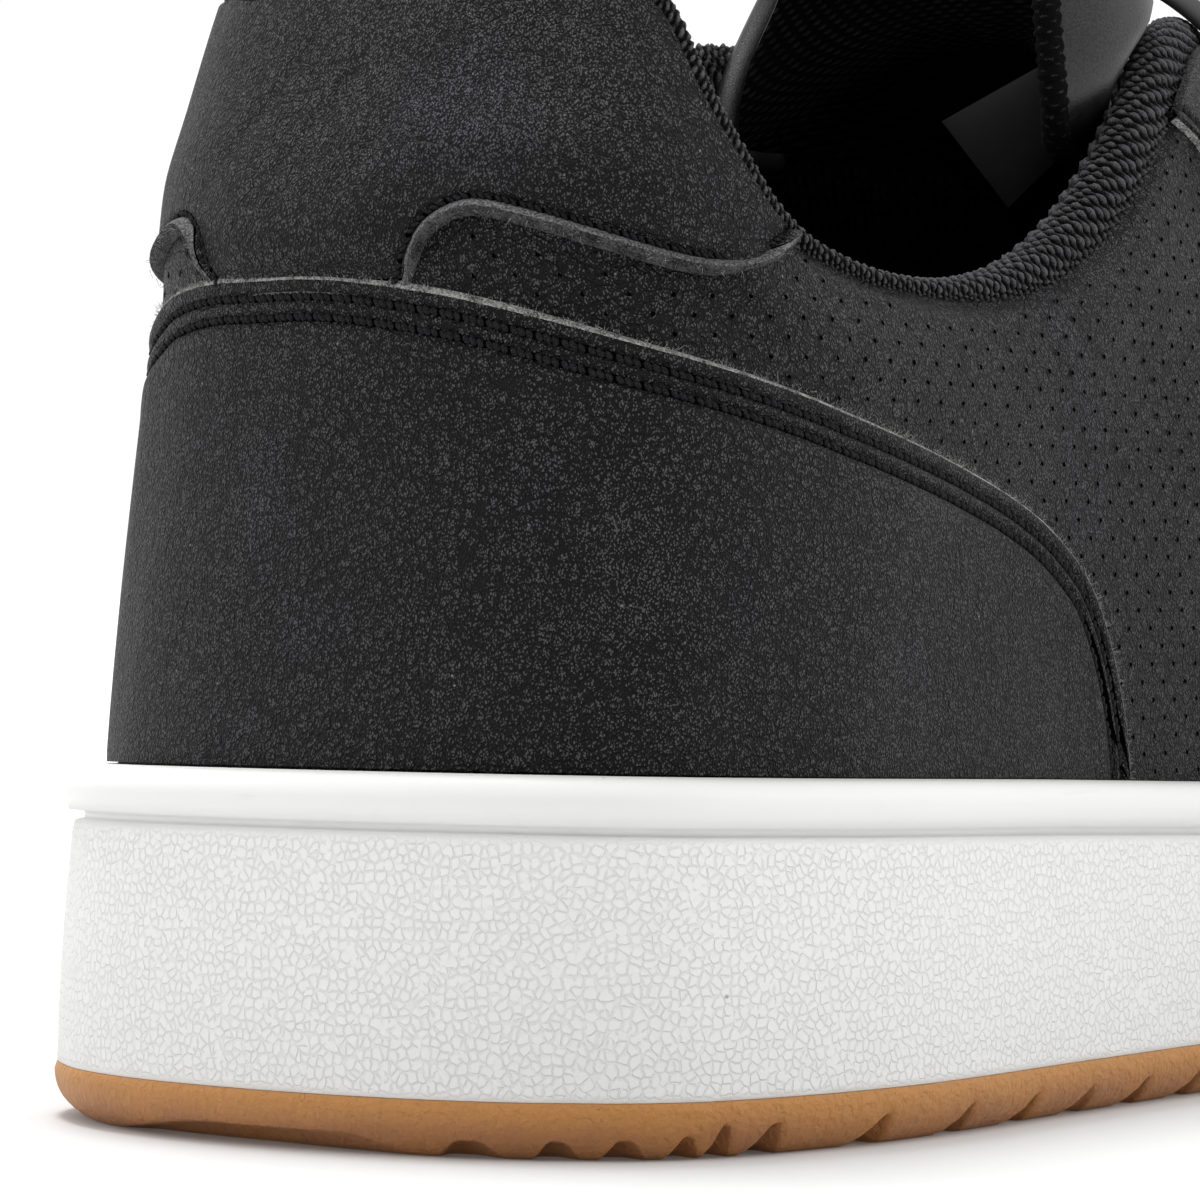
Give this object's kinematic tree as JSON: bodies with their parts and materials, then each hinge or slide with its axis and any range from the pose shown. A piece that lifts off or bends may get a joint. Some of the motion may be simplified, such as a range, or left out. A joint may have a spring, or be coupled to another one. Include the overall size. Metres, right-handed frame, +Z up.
{
  "type": "sneaker",
  "caption": "Low court sneaker with a black leather upper, padded knit collar, laced throat, white cupsole and gum outsole.",
  "frame": {"origin": "on the floor, midway along the length and the width", "axes": "+X to the toe, +Y to the inner side of the foot, +Z up"},
  "size_m": [0.3002, 0.1092, 0.1265],
  "materials": {
    "leather": "fine grained, soft sheen",
    "knit": "matte ribbed knit",
    "lace": "matte woven",
    "cupsole": "matte, pebbled side band",
    "gum": "satin, slightly translucent"
  },
  "bodies": {
    "root": {"upper": "leather", "heel_counter": "leather", "collar_panel": "leather", "tongue": "leather", "collar_lining": "knit", "insole": "knit", "lace_bar_1": "lace", "lace_bar_2": "lace", "lace_bar_3": "lace", "lace_bar_4": "lace", "lace_bar_5": "lace", "lace_bar_6": "lace", "midsole": "cupsole", "outsole": "gum"}
  },
  "joints": []
}
